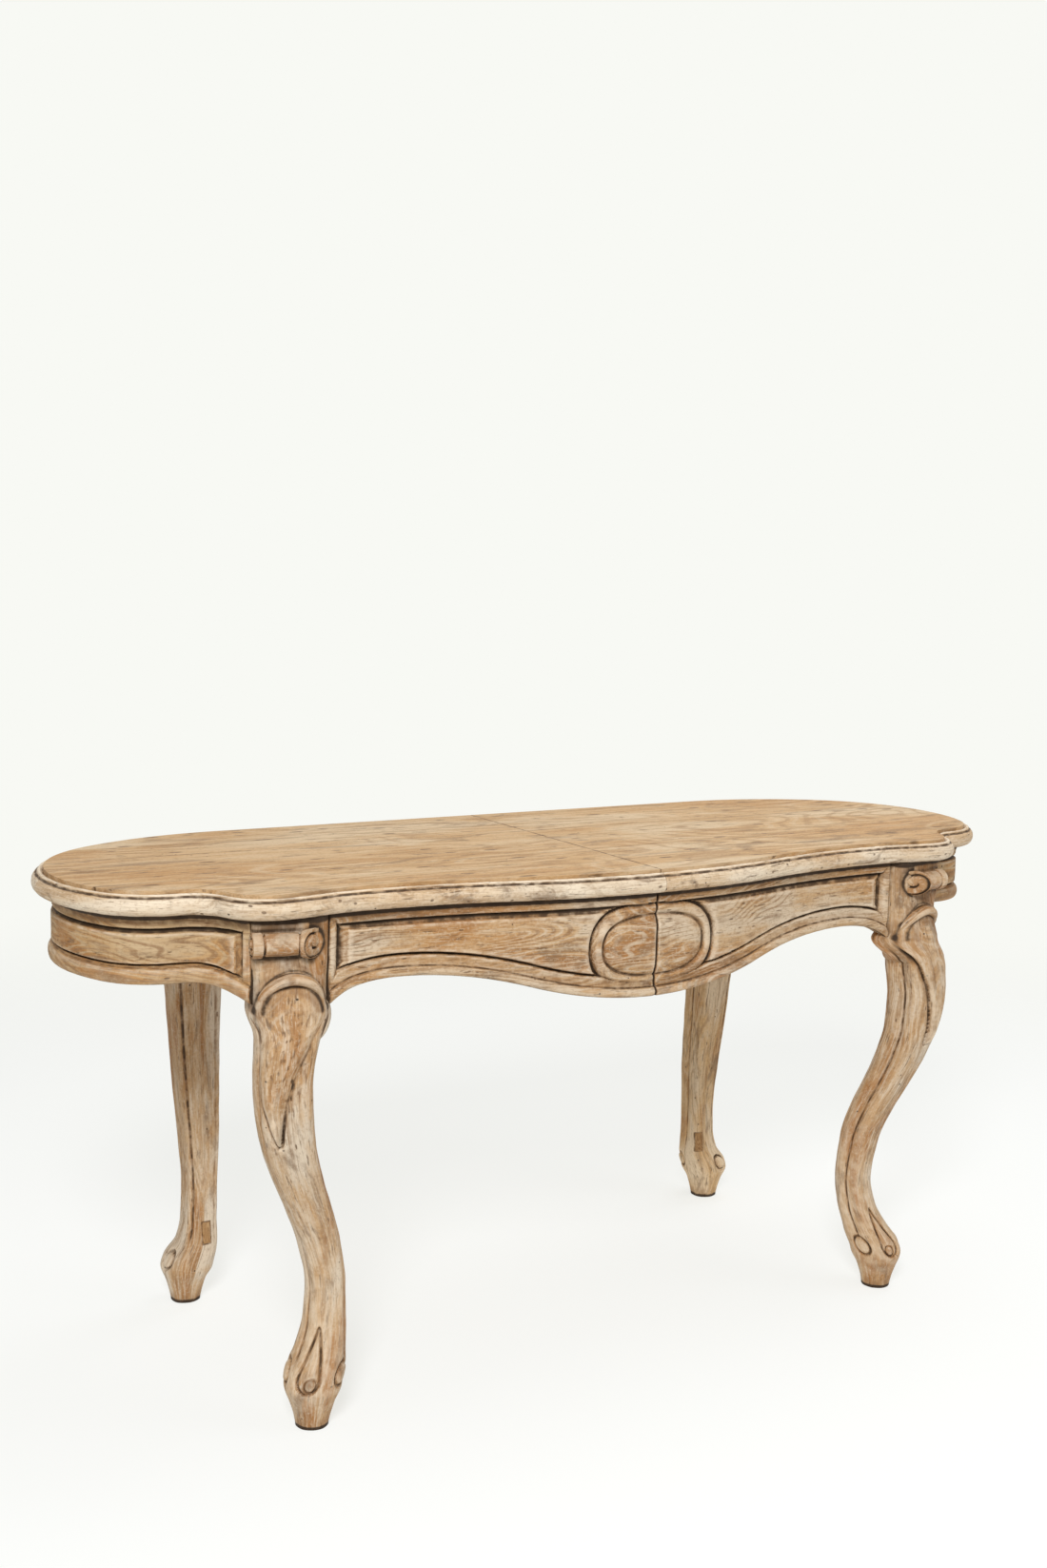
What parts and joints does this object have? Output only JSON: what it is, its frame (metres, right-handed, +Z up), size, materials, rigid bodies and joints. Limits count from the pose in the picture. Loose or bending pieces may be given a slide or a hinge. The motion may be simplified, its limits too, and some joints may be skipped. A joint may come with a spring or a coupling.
{
  "type": "extending table",
  "caption": "Long rococo-style extending table with a serpentine carved front, bowed ends, straight back and cabriole legs; the halves slide apart on wooden runners under the top",
  "frame": {"origin": "on the floor, below the middle of the table's outline", "axes": "+X along the table to the right seen from the front, +Y to the back, +Z up"},
  "size_m": [1.666, 0.6002, 0.76],
  "materials": {
    "top_wood": "bleached honey-tan walnut, waxed, worn",
    "edge_wood": "pale limed walnut, worn",
    "carved_wood": "bleached and limed walnut, dark in the carving",
    "plug_wood": "reddish filler wood, bare",
    "inner_wood": "plain beech, unfinished",
    "screw_steel": "dull aged steel"
  },
  "bodies": {
    "left_half": {"top_board_front_left": "top_wood", "top_board_middle_left": "top_wood", "top_board_back_left": "top_wood", "edge_moulding_front_left": "edge_wood", "edge_moulding_back_left": "edge_wood", "front_leg_left": "carved_wood", "back_leg_left": "carved_wood", "front_apron_left": "carved_wood", "end_apron_left": "carved_wood", "back_apron_left": "carved_wood", "apron_pegs_left": "inner_wood", "glue_blocks_left": "inner_wood", "block_screws_left": "screw_steel", "mortise_plug_left": "plug_wood", "runner_screws_left": "screw_steel", "left_runner_front": "inner_wood", "left_runner_back": "inner_wood"},
    "right_half": {"top_board_front_right": "top_wood", "top_board_middle_right": "top_wood", "top_board_back_right": "top_wood", "edge_moulding_front_right": "edge_wood", "edge_moulding_back_right": "edge_wood", "front_leg_right": "carved_wood", "back_leg_right": "carved_wood", "front_apron_right": "carved_wood", "end_apron_right": "carved_wood", "back_apron_right": "carved_wood", "apron_pegs_right": "inner_wood", "glue_blocks_right": "inner_wood", "block_screws_right": "screw_steel", "mortise_plug_right": "plug_wood", "runner_screws_right": "screw_steel", "right_runner_front": "inner_wood", "right_runner_back": "inner_wood", "alignment_dowels": "inner_wood"},
    "middle_runner_front_body": {"middle_runner_front": "inner_wood"},
    "middle_runner_back_body": {"middle_runner_back": "inner_wood"}
  },
  "joints": [
    {"name": "extension", "type": "slide", "parent": "left_half", "child": "right_half", "axis": [1, 0, 0], "range_m": [0, 0.5]},
    {"name": "front_runner_slide", "type": "slide", "parent": "left_half", "child": "middle_runner_front_body", "axis": [1, 0, 0], "range_m": [0, 0.25]},
    {"name": "back_runner_slide", "type": "slide", "parent": "left_half", "child": "middle_runner_back_body", "axis": [1, 0, 0], "range_m": [0, 0.25]}
  ],
  "couplings": [
    {"joint": "front_runner_slide", "follows": "extension", "ratio": 0.5},
    {"joint": "back_runner_slide", "follows": "extension", "ratio": 0.5}
  ]
}
